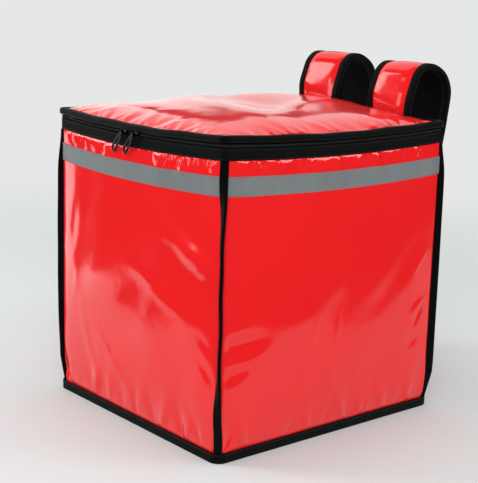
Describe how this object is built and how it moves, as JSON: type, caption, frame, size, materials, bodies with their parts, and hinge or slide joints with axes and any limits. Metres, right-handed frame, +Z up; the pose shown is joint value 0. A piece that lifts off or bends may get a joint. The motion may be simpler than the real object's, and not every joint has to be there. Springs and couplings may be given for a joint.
{
  "type": "food delivery bag",
  "caption": "Square insulated box backpack with padded walls, a zipped lid, bound edges, a reflective strip and padded shoulder straps.",
  "frame": {"origin": "middle of the underside of the base, on the floor", "axes": "+Z up, +X to the bag's right seen from the front, the front with the zip sliders towards -Y, the straps towards +Y"},
  "size_m": [0.3946, 0.5068, 0.5002],
  "materials": {
    "red_vinyl": "glossy PVC-coated fabric",
    "base_cloth": "coated black cloth",
    "binding": "woven edge tape",
    "zip_tape": "woven zip tape",
    "zip_coil": "nylon coil",
    "reflective_tape": "silver reflective fabric",
    "slider_metal": "dark lacquered zinc",
    "mesh": "knitted spacer mesh",
    "webbing": "woven polypropylene webbing",
    "buckle_plastic": "satin acetal"
  },
  "bodies": {
    "root": {"front_panel": "red_vinyl", "right_panel": "red_vinyl", "back_panel": "red_vinyl", "left_panel": "red_vinyl", "base_panel": "base_cloth", "lid_panel": "red_vinyl", "base_binding": "binding", "corner_binding_front_right": "binding", "corner_binding_back_right": "binding", "corner_binding_back_left": "binding", "corner_binding_front_left": "binding", "reflective_strip_left": "reflective_tape", "reflective_strip_front": "reflective_tape", "reflective_strip_right": "reflective_tape", "zip_lower_tape": "zip_tape", "zip_coil": "zip_coil", "zip_upper_tape": "zip_tape", "lid_binding": "binding", "lid_hinge": "binding", "slider_left": "slider_metal", "slider_right": "slider_metal", "strap_pad_left": "red_vinyl", "strap_lining_left": "mesh", "strap_edge_left_left": "binding", "strap_edge_right_left": "binding", "strap_end_left": "webbing", "strap_adjuster_left": "buckle_plastic", "strap_webbing_left": "webbing", "strap_pad_right": "red_vinyl", "strap_lining_right": "mesh", "strap_edge_left_right": "binding", "strap_edge_right_right": "binding", "strap_end_right": "webbing", "strap_adjuster_right": "buckle_plastic", "strap_webbing_right": "webbing"},
    "puller_left": {"puller_left": "slider_metal"},
    "puller_right": {"puller_right": "slider_metal"}
  },
  "joints": [
    {"name": "puller_swing_left", "type": "hinge", "parent": "root", "child": "puller_left", "pos_m": [-0.013, -0.21177, 0.40302], "axis": [-0.7071, 0, 0.7071], "range_deg": [0, 130]},
    {"name": "puller_swing_right", "type": "hinge", "parent": "root", "child": "puller_right", "pos_m": [0.013, -0.21177, 0.40302], "axis": [-0.7071, 0, 0.7071], "range_deg": [0, 130]}
  ]
}
